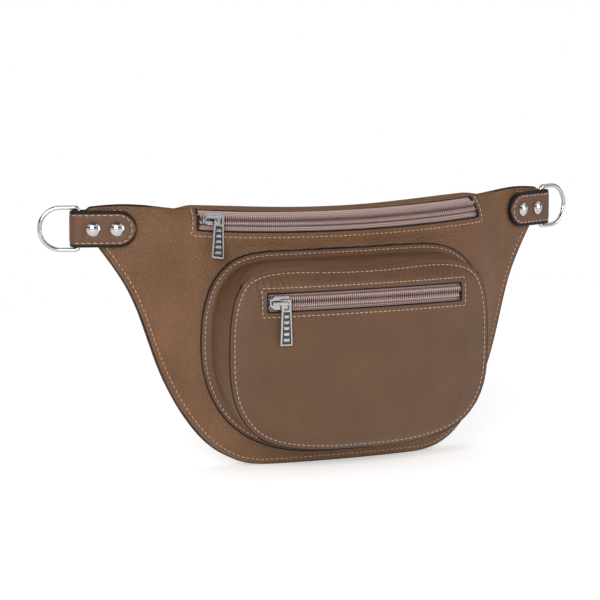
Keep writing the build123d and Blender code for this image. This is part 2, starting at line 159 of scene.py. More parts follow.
def fullness(x, z):
    """0 on the sewn edge and 1 well inside it."""
    up = np.maximum(z, 0)
    share = (np.abs(x) / (FULL_HALF + FULL_SPREAD * np.sqrt(up))) ** 8
    inside = (1 - share) / (1 + share) * (1 - np.exp(-up / FULL_RISE))
    return inside * (1 - ease(FULL_END, WING_START, np.abs(x)))


def crest_z(x):
    """The bag's top: a half cosine from its middle up to the wings."""
    reach = np.minimum(np.abs(x), CREST_REACH) / CREST_REACH
    return CREST + CREST_RISE * (1 - np.cos(math.pi * reach)) / 2


def back_inner(x, z):
    """Inner face of the back leather: the seam's plan curve plus a bulge."""
    bulge = BACK_DEPTH * (1 - (np.minimum(np.abs(x), WING_START) / BACK_REACH) ** 2)
    return seam_y(x) + SEW_GAP + bulge * fullness(x, z)


def front_inner(x, z):
    """Inner face of the front leather: nearly flat, and folded back at its top, less so beside the window."""
    bow = 0.8 * x * x / (2 * MAIN_BOW) * ease(110, WINDOW_LOW, z)
    flat = seam_y(x) - SEW_GAP - (seam_y(x) + FRONT_DEPTH - bow) * fullness(x, z)
    fold = np.clip(1 - (crest_z(x) - z) / ROLL, 0, 1) ** 2.2
    fold = fold * (1 - 0.5 * np.exp(-((np.maximum(np.abs(x), WINDOW) - WINDOW) / 11) ** 2))
    return flat + (back_inner(x, z) - SEW_GAP - flat) * fold


def front_face(x, z):
    """Outer face of the front leather: slack all over, and a crumpled valley between pocket and zip."""
    above = ease(139, 147, z) * (1 - ease(148, 157, z)) * (1 - ease(70, 108, np.abs(x)))
    slack = 0.3 * ripples(x, z, 3, 60, 40) + above * (0.4 * ripples(x, z, 4, 30, 9) - 1.7)
    return front_inner(x, z) - LEATHER - slack * ease(0, 12, z) * (1 - ease(150, 168, np.abs(x)))


def back_face(x, z):
    """Outer face of the back leather."""
    slack = 0.5 * ripples(x, z, 8, 90, 60) * (1 - ease(120, 150, np.abs(x)))
    return back_inner(x, z) + LEATHER + slack * ease(4, 20, z) * (1 - ease(150, 165, z))


def pocket_face(x, z):
    """Outer face of the pocket's front: a crown that rounds over at its edge, puckered above its zip."""
    across, up = np.abs(x) / POCKET_HALF[0], np.abs(z - POCKET_MIDDLE) / POCKET_HALF[1]
    power = np.where(z > POCKET_MIDDLE, 6.0, 3.0)
    inside = (1 - (across**power + up**power) ** (1 / power)) * POCKET_HALF[1] / POCKET_ROUND
    crown = POCKET_CROWN - np.minimum(x * x, POCKET_HALF[0] ** 2) / (2 * POCKET_BOW)
    waves = np.sin(2 * math.pi * x / 4.6 + 2.5 * ripples(x, z, 6, 50, 40))
    puckers = ease(123, 127, z) * (1 - ease(130.5, 134.5, z)) * waves
    slack = 0.22 * ripples(x, z, 7, 70, 55) * ease(0.3, 1.5, inside)
    round_over = np.sin(math.pi / 2 * np.clip(inside, 0, 1))
    return POCKET_RIM - crown * round_over - POCKET_LEATHER - 0.4 * puckers - slack


def laid_on(surface, line, facing, lift=0.0):
    """A line (x, z) laid on a surface: its points, and the surface's own normals from its slopes."""
    x, z = line[:, 0], line[:, 1]
    step = 0.2
    slope_x = (surface(x + step, z) - surface(x - step, z)) / (2 * step)
    slope_z = (surface(x, z + step) - surface(x, z - step)) / (2 * step)
    normal = unit(np.stack([-slope_x, np.ones_like(x), -slope_z], axis=1)) * facing
    return np.stack([x, surface(x, z), z], axis=1) + lift * normal, normal


# ---- outlines (x, z), counterclockwise as seen from the front ----
side_points = [
    (0, 0), (30, 0), (52, 0), (68, 1), (88, 9.2), (110, 32.5), (131, 77.5), (146, 120.5), (165, 151)
]
wing_points = np.array([(165, 151), (171, 154.5), (WING_END, 160), (WING_END, 173.5), (171, 177)], float)
front_top = smooth_line([(171, 177), (153, 178.4), (128, 177.0), (WINDOW, 175.6)], 60)
back_top = smooth_line(
    [(171, 177), (153, 178.6), (128, 177.4), (108, 174.0), (90, 172.4), (60, 170.6), (0, 168.8)], 120
)
lower_side = np.vstack([smooth_line(side_points, 240), wing_points[1:4]])
perimeter_half = np.vstack([lower_side, wing_points[4:], front_top[1:]])
FLIP = np.array([-1, 1])
perimeter = evenly(np.vstack([perimeter_half[::-1] * FLIP, perimeter_half[1:]]), 1.5)


def pocket_outline(top_z, top_half, curve, count=480):
    """One smooth closed line: a straight top, down each side and under. It runs counterclockwise."""
    right = [(top_half / 2, top_z), (top_half, top_z)] + curve
    left = [(-x, z) for x, z in reversed(right[:-1])]
    return smooth_line((right + left)[::-1], count, closed=True)


flange_line = pocket_outline(
    146.0, 52.0, [(84, 140.5), (100, 124), (106, 95), (103, 62), (86, 31), (50, 11.5), (0, 7.5)]
)
rim_line = pocket_outline(
    136.9, 66.0, [(86, 130), (95, 111), (97, 83), (92.5, 46), (76, 24.5), (50, 15.4), (0, 12.4)]
)


def window_edge(x):
    """Lower edge of the main zip's window, a shallow bow."""
    return WINDOW_LOW + (WINDOW_END - WINDOW_LOW) * (x / WINDOW) ** 2


def window_line(grow):
    """The main window's open outline, from its top left down, along and up again, grown by an amount."""
    half = WINDOW + grow
    x = np.linspace(-half, half, 160)
    low = np.stack([x, window_edge(np.clip(x, -WINDOW, WINDOW)) - grow], axis=1)
    rise = np.linspace(WINDOW_END + 1 - grow, 176.2, 12)
    up = np.stack([half - WINDOW_LEAN * (rise - rise[0]) / (rise[-1] - rise[0]), rise], axis=1)
    return np.vstack([up[::-1] * FLIP, low[2:-2], up])


def slot_line(grow, corner):
    """The pocket window's closed outline, a rounded rectangle grown by an amount, counterclockwise."""
    half_x, half_z = POCKET_WINDOW + grow - corner, (POCKET_HIGH - POCKET_LOW) / 2 + grow - corner
    turn = np.linspace(0, 2 * math.pi, 32, endpoint=False) + math.pi / 32
    x = np.sign(np.cos(turn)) * half_x + corner * np.cos(turn)
    z = np.sign(np.sin(turn)) * half_z + corner * np.sin(turn) + (POCKET_HIGH + POCKET_LOW) / 2
    return evenly(np.stack([x, z], axis=1), 1.0, closed=True)


# ---- meshes ----
SHIFT = np.array([0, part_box("back_panel")[1].y / MM - (seam_y(174.0) + SEW_GAP + LEATHER), 0])


def lattice(rows, columns, wrap_rows=False, wrap_columns=False):
    """Quads of a grid of rows x columns points, numbered row by row."""
    i = np.arange(rows if wrap_rows else rows - 1)
    j = np.arange(columns if wrap_columns else columns - 1)
    i, j = np.meshgrid(i, j, indexing="ij")
    down, over = (i + 1) % rows, (j + 1) % columns
    corners = [i * columns + j, down * columns + j, down * columns + over, i * columns + over]
    return np.stack(corners, axis=-1).reshape(-1, 4)


def put(name, points, quads, body, slot, materials, along=None, stands_for=()):
    """Makes the piece: doubles are merged, collapsed sides dropped, and it rides on its body."""
    _, first, back = np.unique(np.round(points, 4), axis=0, return_index=True, return_inverse=True)
    quads = back.reshape(-1)[quads]
    keep = quads != np.roll(quads, 1, axis=1)
    whole = keep.sum(1) > 2
    quads, keep = quads[whole], keep[whole]
    mesh = bpy.data.meshes.new(name)
    mesh.vertices.add(len(first))
    mesh.vertices.foreach_set("co", ((points[first] + SHIFT) * MM).ravel())
    sides = keep.sum(1)
    mesh.loops.add(int(sides.sum()))
    mesh.loops.foreach_set("vertex_index", quads[keep])
    mesh.polygons.add(len(sides))
    mesh.polygons.foreach_set("loop_start", np.concatenate([[0], np.cumsum(sides)[:-1]]))
    mesh.polygons.foreach_set("use_smooth", np.full(len(sides), True))
    if along is not None:
        cloth = mesh.attributes.new("along", "FLOAT_VECTOR", "POINT")
        cloth.data.foreach_set("vector", (along[first] * MM).astype(np.float32).ravel())
    mesh.update(calc_edges=True)
    mesh.validate()
    piece = bpy.data.objects.new(name, mesh)
    bpy.context.collection.objects.link(piece)
    for finish in materials:
        mesh.materials.append(finish)
    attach(piece, body)
    if stands_for:
        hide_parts(*stands_for)
    return piece


def walled(piece, thickness, rim=0):
    """Gives a sheet its thickness, inwards from the face that shows."""
    wall = piece.modifiers.new("wall", "SOLIDIFY")
    wall.thickness, wall.offset, wall.material_offset_rim = thickness * MM, -1, rim
    return piece


def carried(path, across, out, profile):
    """A closed profile (across, out) carried along a closed path."""
    points = path[:, None] + profile[None, :, :1] * across[:, None] + profile[None, :, 1:] * out[:, None]
    return points.reshape(-1, 3), lattice(len(points), len(profile), True, True)


def oval(half_across, half_out, count):
    """Points round an ellipse, clockwise so that a carried face points outwards."""
    turn = -np.linspace(0, 2 * math.pi, count, endpoint=False)
    return np.stack([half_across * np.cos(turn), half_out * np.sin(turn)], axis=1)


def gather(parts):
    """Several (points, quads) as one."""
    start = np.cumsum([0] + [len(p) for p, _ in parts[:-1]])
    return np.vstack([p for p, _ in parts]), np.vstack([q + s for (_, q), s in zip(parts, start)])


def stitches(path, normal, pitch=STITCH_PITCH, closed=False, length=0.76, thick=0.33):
    """Thread between holes: each stitch is an arched capsule of five rings, sunk at both ends."""
    line = np.hstack([path, normal])
    if closed:
        around = np.linalg.norm(np.diff(np.vstack([line, line[:1]])[:, :3], axis=0), axis=1).sum()
        pitch = around / round(around / pitch)
    line = evenly(line, pitch / 8, closed)
    run = 8 * np.arange(int(len(line) / 8))
    middle, up = line[run + 3, :3], unit(line[run + 3, 3:])
    along = unit(line[run + 5, :3] - line[run + 1, :3])
    side = np.cross(along, up)
    t = np.array([-1, -0.8, 0, 0.8, 1])
    width = np.array([0, 0.75, 1, 0.75, 0]) * thick
    arch = np.array([-0.3, 0.02, 0.26, 0.02, -0.3])
    turn = np.linspace(0, 2 * math.pi, 6, endpoint=False)
    spine = middle[:, None] + along[:, None] * (t * pitch * length / 2)[None, :, None]
    spine = spine + up[:, None] * arch[None, :, None] + side[:, None] * (0.16 * t)[None, :, None]
    ring = side[:, None] * np.cos(turn)[None, :, None] + up[:, None] * np.sin(turn)[None, :, None]
    points = spine[:, :, None] + ring[:, None] * width[None, :, None, None]
    one = lattice(5, 6, wrap_columns=True)
    quads = (one[None] + 30 * np.arange(len(run))[:, None, None]).reshape(-1, 4)
    return points.reshape(-1, 3), quads


# ---- finishes ----
def linear(code):
    """An sRGB hex colour as linear RGBA."""
    c = np.array([int(code[i : i + 2], 16) for i in (1, 3, 5)]) / 255
    return (*np.where(c <= 0.04045, c / 12.92, ((c + 0.055) / 1.055) ** 2.4).tolist(), 1.0)


def add(tree, kind, inputs=None, **settings):
    """Adds one node; an input that is a socket is linked, and any other is set."""
    made = tree.nodes.new(kind)
    for key, value in settings.items():
        setattr(made, key, value)
    for key, value in (inputs or {}).items():
        if isinstance(value, bpy.types.NodeSocket):
            tree.links.new(value, made.inputs[key])
        else:
            made.inputs[key].default_value = value
    return made


def blank(name, **values):
    """A new material with its shader's uniform values set."""
    finish = bpy.data.materials.new(name)
    finish.use_nodes = True
    tree = finish.node_tree
    shader = tree.nodes["Principled BSDF"]
    for key, value in values.items():
        shader.inputs[key.replace("_", " ")].default_value = value
    return finish, tree, shader


def object_place(tree):
    """Where a point lies on its piece, in metres."""
    return add(tree, "ShaderNodeTexCoord").outputs["Object"]


def cloth_place(tree):
    """Where a point lies along and across its cloth or wire, in metres, and those three numbers apart."""
    place = add(tree, "ShaderNodeAttribute", attribute_name="along").outputs["Vector"]
    return place, add(tree, "ShaderNodeSeparateXYZ", {0: place}).outputs


def noise(tree, place, size, detail, **inputs):
    """Noise with a pattern of a size in millimetres."""
    inputs = {"Vector": place, "Scale": 1 / (size * MM), "Detail": detail, **inputs}
    return add(tree, "ShaderNodeTexNoise", inputs).outputs[0]


def maths(tree, operation, *values, clamp=False):
    """One step of arithmetic."""
    return add(tree, "ShaderNodeMath", dict(enumerate(values)), operation=operation, use_clamp=clamp).outputs[0]


def mapped(tree, value, low=0.0, high=1.0, to_low=0.0, to_high=1.0):
    """A value moved from one range to another, and kept inside it."""
    return add(tree, "ShaderNodeMapRange", {0: value, 1: low, 2: high, 3: to_low, 4: to_high}).outputs[0]


def dressed(tree, shader, tone, dark, light, height=None, relief=0.0, strength=1.0, roughness=None):
    """Gives the shader a colour between two tones, relief in millimetres from a height, and a roughness."""
    colour = add(tree, "ShaderNodeMix", {0: tone, 6: linear(dark), 7: linear(light)}, data_type="RGBA")
    tree.links.new(colour.outputs[2], shader.inputs["Base Color"])
    if roughness is not None:
        tree.links.new(roughness, shader.inputs["Roughness"])
    if height is not None:
        bump = add(tree, "ShaderNodeBump", {"Height": height, "Distance": relief * MM, "Strength": strength})
        tree.links.new(bump.outputs[0], shader.inputs["Normal"])


def leather(name, grain, depth, dark, light, roughness):
    """Full-grain cow hide, drum-dyed and milled, then sprayed with a satin topcoat.

    To the eye: soft pebbles parted by fine creases, darkened by painted shade, a tone that clouds slowly, and a
    dull sheen.
    """
    finish, tree, shader = blank(name, IOR=1.47, Specular_IOR_Level=0.3)
    place = object_place(tree)
    drift = add(tree, "ShaderNodeTexNoise", {"Vector": place, "Scale": 0.5 / (grain * MM), "Detail": 2.0})
    half = (0.5, 0.5, 0.5)
    centred = add(tree, "ShaderNodeVectorMath", {0: drift.outputs["Color"], 1: half}, operation="SUBTRACT")
    push = {0: centred.outputs[0], "Scale": 0.9 * grain * MM}
    bent = add(tree, "ShaderNodeVectorMath", push, operation="SCALE")
    moved = add(tree, "ShaderNodeVectorMath", {0: place, 1: bent.outputs[0]}, operation="ADD").outputs[0]
    cell_inputs = {"Vector": moved, "Scale": 1 / (grain * MM)}
    cells = add(tree, "ShaderNodeTexVoronoi", cell_inputs, feature="DISTANCE_TO_EDGE").outputs["Distance"]
    crease = {0: cells, 2: 0.28}
    pebble = add(tree, "ShaderNodeMapRange", crease, interpolation_type="SMOOTHSTEP").outputs[0]
    hair = noise(tree, place, 0.35, 3.0)
    height = maths(tree, "MULTIPLY_ADD", hair, 0.25, pebble)
    cloud = noise(tree, place, 34, 3.0, Roughness=0.55)
    # painted shade: the tone darkens down into the creases between the pebbles and lightens on their tops
    crease_shade = maths(tree, "MULTIPLY_ADD", pebble, 0.35, -0.3)
    tone = maths(tree, "ADD", mapped(tree, cloud, 0.15, 0.85), crease_shade, clamp=True)
    gloss = mapped(tree, cloud, to_low=roughness - 0.05, to_high=roughness + 0.07)
    dressed(tree, shader, tone, dark, light, height, depth, roughness=gloss)
    return finish


def edge_dye():
    """Edge paint, rolled on in coats over raw leather.

    To the eye: a near black line, barely glossy and slightly lumpy.
    """
    finish, tree, shader = blank("edge_paint", IOR=1.48, Roughness=0.55, Specular_IOR_Level=0.2)
    lumps = noise(tree, object_place(tree), 1.6, 3.0)
    dressed(tree, shader, lumps, "#07070a", "#15161b", lumps, 0.12, 0.8)
    return finish


def thread_finish():
    """Bonded polyester thread, twisted from three plies.

    To the eye: pale tan dashes with a dull sheen, ridged slantwise.
    """
    finish, tree, shader = blank("sewing_thread", IOR=1.5, Roughness=0.55, Sheen_Weight=0.3)
    place = object_place(tree)
    ply_inputs = {"Vector": place, "Scale": 1 / (2.2 * MM)}
    plies = add(tree, "ShaderNodeTexWave", ply_inputs, bands_direction="DIAGONAL").outputs[1]
    dressed(tree, shader, noise(tree, place, 3, 2.0), "#8c6b55", "#c9a68c", plies, 0.08, 0.7)
    return finish


def tape_thread_finish():
    """Textured polyester thread, dyed with the tape that it sews the coil to.

    To the eye: a soft dusty pink line on the coil's back.
    """
    finish, tree, shader = blank("tape_thread", Roughness=0.6, Sheen_Weight=0.3)
    dressed(tree, shader, noise(tree, object_place(tree), 5, 2.0), "#8d716c", "#b99c95")
    return finish


def woven(name, dark, light, rib, row, depth, coil_shade_width=0.0):
    """Polyester cloth from a narrow loom, woven from dyed yarn.

    To the eye: ribs across it and rows along it, and painted shade darkens it over a width under a coil.
    """
    finish, tree, shader = blank(name, IOR=1.5, Roughness=0.72, Sheen_Weight=0.35)
    _, parts = cloth_place(tree)
    ribs = maths(tree, "SINE", maths(tree, "MULTIPLY", parts[0], 2 * math.pi / (rib * MM)))
    rows = maths(tree, "SINE", maths(tree, "MULTIPLY", parts[1], 2 * math.pi / (row * MM)))
    height = mapped(tree, maths(tree, "MULTIPLY_ADD", ribs, 0.6, rows), -1.6, 1.3)
    # painted shade: the cloth is darkened over a width next to its coil, where the coil shades it
    coil_shade_tone = 0.0 if coil_shade_width else 1.0
    clear = mapped(tree, parts[1], coil_shade_width * MM, (coil_shade_width + 0.5) * MM, coil_shade_tone)
    dressed(tree, shader, maths(tree, "MULTIPLY", height, clear), dark, light, height, depth)
    return finish


def coil_nylon():
    """Nylon monofilament, extruded, dyed with the tape and wound into a coil.

    To the eye: glossy ribs, with a painted highlight where they stand up and painted shade where the two rows
    meet.
    """
    finish, tree, shader = blank("zip_coil", IOR=1.53, Roughness=0.4)
    place, parts = cloth_place(tree)
    # painted highlight: the tone rises with the coil's height out of the tape
    height = mapped(tree, parts[2], 1.4 * MM, 2.6 * MM)
    # painted shade: darker towards the middle, where the two rows meet
    heads = mapped(tree, maths(tree, "ABSOLUTE", parts[1]), 0.5 * MM, 2.2 * MM, 0.25)
    raised = maths(tree, "MULTIPLY", height, heads)
    tone = maths(tree, "MULTIPLY_ADD", noise(tree, place, 4, 2.0), 0.2, raised, clamp=True)
    dressed(tree, shader, tone, "#241718", "#c0a19a")
    return finish


def chrome():
    """Die-cast zinc, polished and chrome plated.

    To the eye: a mirror with faint waves left by the polishing mop.
    """
    finish, tree, shader = blank("plated_metal", Metallic=1.0)
    haze = noise(tree, object_place(tree), 5, 4.0)
    rough = mapped(tree, haze, to_low=0.06, to_high=0.16)
    dressed(tree, shader, haze, "#a4a3a5", "#cac8c6", haze, 0.12, 0.5, rough)
    return finish


def enamel():
    """Soft enamel, filled in by needle and baked.

    To the eye: glossy black that pulls up slightly at the walls.
    """
    finish, tree, shader = blank("black_enamel", IOR=1.52, Coat_Weight=0.4)
    flow = noise(tree, object_place(tree), 2.5, 1.0)
    rough = mapped(tree, flow, to_low=0.12, to_high=0.3)
    dressed(tree, shader, flow, "#0c0d10", "#1b1c20", flow, 0.1, 0.6, rough)
    return finish


pebbled = leather("pebbled_leather", 2.0, 0.3, "#5d4129", "#735138", 0.52)
smooth = leather("smooth_leather", 1.3, 0.07, "#513826", "#5f422e", 0.45)
painted, thread, tape_thread = edge_dye(), thread_finish(), tape_thread_finish()
# the last number is the width of painted shade under the coil
tape_cloth = woven("zip_tape", "#4c3534", "#b89a91", 1.5, 1.3, 0.3, 3.0)
lining_cloth = woven("lining_cloth", "#1f1a18", "#40362f", 0.8, 0.8, 0.08)
nylon, plated, black = coil_nylon(), chrome(), enamel()


# ---- leather ----
seam_perimeter = moved_in(perimeter, STITCH_IN + 0.3)
seam_window = window_line(3.4)
seam_flange = moved_in(flange_line, 2.3, True)
seam_rim = moved_in(rim_line, STITCH_IN, True)
seam_slot = slot_line(3.2, 1.5)


def seam_dip(x, z, *seams):
    """How far the thread pulls the leather in: a bell round the nearest point of any seam."""
    marks = np.vstack([seam[::2] for seam in seams]).astype(np.float32)
    spots = np.stack([x.ravel(), z.ravel()], axis=1).astype(np.float32)
    near = np.concatenate([
        ((chunk[:, None] - marks[None]) ** 2).sum(-1).min(1) for chunk in np.array_split(spots, 40)
    ])
    return 0.38 * np.exp(-near / 1.5**2).reshape(x.shape)


def low_edge(x):
    """Height of the bag's lower outline at x."""
    return np.interp(np.abs(x), lower_side[:, 0] + 1e-6 * np.arange(len(lower_side)), lower_side[:, 1])


def top_edge(x, top):
    """Height of an upper outline at x."""
    line = np.vstack([top[::-1], [wing_points[3]]])
    return np.interp(np.abs(x), line[:, 0] + 1e-6 * np.arange(len(line)), line[:, 1])


def columns(low, high, step):
    """x positions a step apart."""
    return np.linspace(low, high, int(round((high - low) / step)) + 1)


def block(x, low, high, rows, surface, facing, seams):
    """A grid over x and over the share of the height between two edges, pulled in along its seams."""
    share = np.linspace(0, 1, rows)[None]
    z = low[:, None] * (1 - share) + high[:, None] * share
    x = np.repeat(x[:, None], rows, axis=1)
    y = surface(x, z) - facing * seam_dip(x, z, *seams)
    quads = lattice(len(x), rows)
    return np.stack([x, y, z], axis=-1).reshape(-1, 3), quads if facing < 0 else quads[:, ::-1]


def front_leather():
    """The front panel: one block up to the window's lower edge, and one more on each wing above it."""
    wing = columns(WINDOW, WING_END, 1.4)
    x = np.concatenate([-wing[:0:-1], columns(-WINDOW, WINDOW, 1.4), wing[1:]])
    high = np.where(np.abs(x) <= WINDOW, window_edge(x), WINDOW_END)
    seams = (seam_perimeter, seam_window, seam_flange)
    parts = [block(x, low_edge(x), high, 110, front_face, -1, seams)]
    for side in (x[x <= -WINDOW], x[x >= WINDOW]):
        level = np.full(len(side), WINDOW_END)
        points, quads = block(side, level, top_edge(side, front_top), 14, front_face, -1, seams)
        rise = np.clip((points[:, 2] - WINDOW_END) / 14.4, 0, 1)
        near = ease(WINDOW + 14, WINDOW, np.abs(points[:, 0]))
        points[:, 0] -= np.sign(points[:, 0]) * WINDOW_LEAN * rise * near
        parts.append((points, quads))
    hide = [pebbled, painted]
    piece = put("front_leather", *gather(parts), "bag", "brown_leather", hide, stands_for=["front_panel"])
    return walled(piece, LEATHER - 0.2, rim=1)


def back_leather():
    """The back panel: one block from the bottom seam to the top."""
    x = columns(-WING_END, WING_END, 1.8)
    grid = block(x, low_edge(x), top_edge(x, back_top), 96, back_face, 1, (seam_perimeter,))
    hide = [pebbled, painted]
    piece = put("back_leather", *grid, "bag", "brown_leather", hide, stands_for=["back_panel"])
    return walled(piece, LEATHER - 0.2, rim=1)


def crest_band():
    """The band over the bag's top: a turned front edge, a crowned top and a roll down the back."""
    x = columns(-WINDOW - BAND_PAST, WINDOW + BAND_PAST, 1.8)[:, None]
    sink = ease(WINDOW - 4, WINDOW + BAND_PAST, np.abs(x))
    near, top = 8 + 5 * (x / 100) ** 2, crest_z(x) + 0.2
    far = back_face(x, np.full_like(x, 160.0)) + 0.5
    turn = np.linspace(math.pi * 1.5, math.pi * 0.5, 7)[None]
    fold_y, fold_z = near + 1.1 + 1.1 * np.cos(turn), top - 2.1 + 1.1 * np.sin(turn)
    share = np.linspace(0.02, 1, 16)[None]
    top_y = near + 1.1 + (far - 5 - near - 1.1) * share
    top_z = top - (2 * share - 1) ** 2
    roll = np.linspace(0.1, math.pi / 2, 8)[None]
    roll_y, roll_z = far - 5 + 5 * np.sin(roll), top - 6 + 5 * np.cos(roll)
    drop = np.linspace(1, 9, 6)[None]
    drop_z = top - 6 - drop
    drop_y = back_face(x + 0 * drop_z, drop_z) + 0.5
    y = np.hstack([near + 4 + 0 * x, fold_y, top_y, roll_y, drop_y])
    z = np.hstack([top - 3.2 + 0 * x, fold_z, top_z, roll_z, drop_z])
    y = y + 0.25 * ripples(x, z, 12, 60, 40)
    z = z - 2.6 * sink
    points, quads = np.stack([x + 0 * y, y, z], axis=-1).reshape(-1, 3), lattice(*y.shape)
    hide = [pebbled, painted]
    piece = put("top_band_leather", points, quads, "bag", "brown_leather", hide, stands_for=["top_band"])
    seam = np.stack([x[:, 0], drop_y[:, 4] + 0.05, drop_z[:, 4]], axis=1)
    normal = np.tile([0.0, 1.0, 0.0], (len(seam), 1))
    put("top_band_stitches", *stitches(seam, normal), "bag", "thread", [thread])
    return walled(piece, 0.9)


def pocket_wall():
    """The pocket's moulded side: a flange on the front panel, a small cove, and a soft wall out to the rim."""
    inner = moved_in(flange_line, FLANGE, True)
    cove = 3.0
    rows = []
    for share in np.linspace(0, 1, 6):
        line = moved_in(flange_line, (FLANGE - cove) * share, True)
        rows.append(np.stack([line[:, 0], front_face(*line.T) - SEW_GAP - POCKET_LEATHER, line[:, 1]], axis=1))
    base = front_face(*inner.T) - SEW_GAP - POCKET_LEATHER
    for turn in np.linspace(0.2, math.pi / 2, 6):
        line = moved_in(flange_line, FLANGE - cove * (1 - math.sin(turn)), True)
        rows.append(np.stack([line[:, 0], base - cove * (1 - math.cos(turn)), line[:, 1]], axis=1))
    out = moved_in(inner, -1.0, True) - inner
    meeting = pocket_face(*rim_line.T) + POCKET_LEATHER / 2
    for share in np.linspace(0.06, 1, 18):
        line = inner + (rim_line - inner) * share + out * 1.5 * math.sin(math.pi * share) ** 0.8
        slack = 0.35 * ripples(line[:, 0], line[:, 1] + 30 * share, 9, 30, 26) * math.sin(math.pi * share)
        line = line + out * slack[:, None]
        y = base - cove + (meeting - base + cove) * share
        rows.append(np.stack([line[:, 0], y, line[:, 1]], axis=1))
    grid = np.array(rows)
    points, quads = grid.reshape(-1, 3), lattice(*grid.shape[:2], wrap_columns=True)[:, ::-1]
    hide = [smooth, painted]
    names = ["pocket_gusset"]
    piece = put("pocket_side_leather", points, quads, "bag", "brown_leather", hide, stands_for=names)
    return walled(piece, POCKET_LEATHER - 0.15, rim=1)


def pocket_front():
    """The pocket's front: rows run from the rim in to the zip's window, each point on the crowned face."""
    slot_x = np.clip(rim_line[:, 0] * 0.8, -POCKET_WINDOW, POCKET_WINDOW)
    slot = np.stack([slot_x, np.clip(rim_line[:, 1], POCKET_LOW, POCKET_HIGH)], axis=1)
    share = np.linspace(0, 1, 90)[:, None, None]
    flat = rim_line[None] * (1 - share) + slot[None] * share
    x, z = flat[..., 0], flat[..., 1]
    y = pocket_face(x, z) + seam_dip(x, z, seam_rim, seam_slot)
    points, quads = np.stack([x, y, z], axis=-1).reshape(-1, 3), lattice(*x.shape, wrap_columns=True)[:, ::-1]
    names = ["pocket_front_panel"]
    piece = put("pocket_front_leather", points, quads, "bag", "pocket_leather", [smooth], stands_for=names)
    return walled(piece, POCKET_LEATHER - 0.1)


def painted_edge(name, line, surface, thickness, facing=-1, closed=False, depth=None, reach=0.9):
    """Edge paint round a leather's cut edge: an oval bead carried along the outline, proud of both faces."""
    face, normal = laid_on(surface, line, facing)
    half = thickness / 2 if depth is None else depth / 2
    middle = face - normal * np.reshape(half, (-1, 1))
    t = headings(middle, closed)
    out = unit(np.cross(t, normal))
    round_it = oval(1.0, reach, 12)
    half = np.reshape(half, (-1, 1, 1)) + 0.08
    points = middle[:, None] + round_it[None, :, :1] * half * normal[:, None]
    points = points + round_it[None, :, 1:] * out[:, None]
    if not closed:
        first, last = (np.repeat(end.mean(axis=0)[None, None], 12, axis=1) for end in (points[0], points[-1]))
        points = np.concatenate([first, points, last])
    quads = lattice(len(points), 12, closed, True)
    return put(name, points.reshape(-1, 3), quads, "bag", "edge_paint", [painted])


def seam(name, line, surface, facing=-1, closed=False, lift=-0.3):
    """A row of stitches along a line on a surface."""
    path, normal = laid_on(surface, evenly(line, 0.8, closed), facing, lift)
    return put(name, *stitches(path, normal, closed=closed), "bag", "thread", [thread])


def flange_face(x, z):
    """Outer face of the pocket's flange."""
    return front_face(x, z) - SEW_GAP - POCKET_LEATHER


front_leather()
back_leather()
crest_band()
pocket_wall()
pocket_front()


def below(line, half, height):
    """The part of an outline that is outside a half width or under a height: all but its top."""
    return line[(np.abs(line[:, 0]) > half) | (line[:, 1] < height)]


outer = below(perimeter, 130, 160)
edge_depth = back_inner(*outer.T) - front_inner(*outer.T) + 2 * LEATHER
painted_edge("perimeter_edge", outer, lambda x, z: front_inner(x, z) - LEATHER, 0, depth=edge_depth, reach=0.9)
painted_edge("window_edge", window_line(0), front_face, LEATHER)
painted_edge("pocket_flange_edge", flange_line, flange_face, POCKET_LEATHER, closed=True)
rim_low = rim_line[:, 1] < 131.0  # the rim's top is turned over, and has no painted edge
rim_start = np.argmax(rim_low & ~np.roll(rim_low, 1))
rim_open = np.roll(rim_line, -rim_start, axis=0)[:rim_low.sum()]
painted_edge("pocket_rim_edge", rim_open, pocket_face, POCKET_LEATHER, reach=0.6)
painted_edge("pocket_window_edge", slot_line(0, 0.8), pocket_face, POCKET_LEATHER, closed=True, reach=0.75)
seam("perimeter_stitches", below(seam_perimeter, 150, 160), front_face)
seam("back_stitches", seam_perimeter, back_face, facing=1)
seam("window_stitches", seam_window, front_face)
seam("pocket_flange_stitches", seam_flange, flange_face, closed=True, lift=0.02)
seam("pocket_rim_stitches", seam_rim, pocket_face, closed=True)
seam("pocket_window_stitches", seam_slot, pocket_face, closed=True)


# ---- lining ----
def lining(name, node, surface, offset, half, low, high, corner):
    """A lining panel: a rounded rectangle of cloth that follows its leather on the inside."""
    x, z = np.meshgrid(np.linspace(-half, half, 60), np.linspace(low, high, 40), indexing="ij")
    middle = (low + high) / 2
    past = np.clip(np.abs(z - middle) - (high - low) / 2 + corner, 0, corner)
    x = x / half * (half - corner + np.sqrt(corner**2 - past**2))
    points = np.stack([x, surface(x, z) + offset, z], axis=-1).reshape(-1, 3)
    along, cloth = np.stack([x, z, 0 * x], axis=-1).reshape(-1, 3), [lining_cloth]
    piece = put(name, points, lattice(*x.shape), "bag", "lining_cloth", cloth, along=along, stands_for=[node])
    walled(piece, 0.5)
    return piece


lining("main_lining_front_cloth", "main_lining_front", front_inner, 0.4, 107, 9, 149, 55)
lining("main_lining_back_cloth", "main_lining_back", back_inner, -0.4, 107, 9, 162, 55)
lining("pocket_lining_back_cloth", "pocket_lining_back", front_inner, -LEATHER - 0.4, 77, 31, 131, 38)
lining("pocket_lining_front_cloth", "pocket_lining_front", pocket_face, POCKET_LEATHER + 2.8, 86, 25, 107, 32)


# ---- zips ----
def main_zip(s, across, out):
    """A point of the main zip: s along its bow, across it and out of its face, turned about its far axis."""
    tilt, inward = math.radians(MAIN_TILT), np.array([0, 0.8, 0.6])
    return bowed(s, across, out, np.array(MAIN_ZIP), tilt, MAIN_BOW, inward)


def pocket_zip(s, across, out):
    """A point of the pocket's zip."""
    return bowed(s, across, out, np.array(POCKET_ZIP), 0.0, POCKET_BOW, np.array([0, 1.0, 0]))


